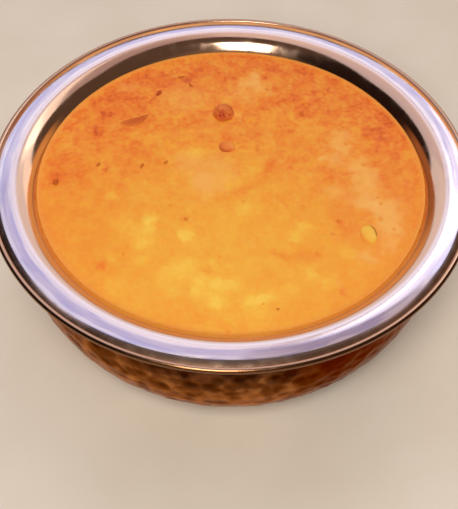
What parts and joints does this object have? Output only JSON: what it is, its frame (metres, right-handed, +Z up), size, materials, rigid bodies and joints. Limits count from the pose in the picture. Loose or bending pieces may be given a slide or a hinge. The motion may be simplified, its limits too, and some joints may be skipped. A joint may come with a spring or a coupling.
{
  "type": "bowl of dal",
  "caption": "Thick yellow lentil dal with tomato, filling a round metal serving bowl: polished steel inside with a wide rolled rim, hammered copper outside",
  "frame": {"origin": "middle of the base, on the surface the bowl stands on", "axes": "+Z up through the middle of the bowl; -Y towards the eater, +X to their right"},
  "size_m": [0.16, 0.16, 0.0515],
  "materials": {
    "steel": "polished, with fine turned lines round the rim",
    "copper": "hammered copper, warm brown with a worn shine",
    "dal": "thick wet lentil soup, orange to yellow, mottled with soft lentils",
    "tomato": "soft cooked tomato, wet",
    "tomato_skin": "thin cooked tomato skin, wet"
  },
  "bodies": {
    "root": {"steel_bowl": "steel", "copper_shell": "copper", "dal": "dal", "tomato_piece": "tomato", "tomato_skin": "tomato_skin"}
  },
  "joints": []
}
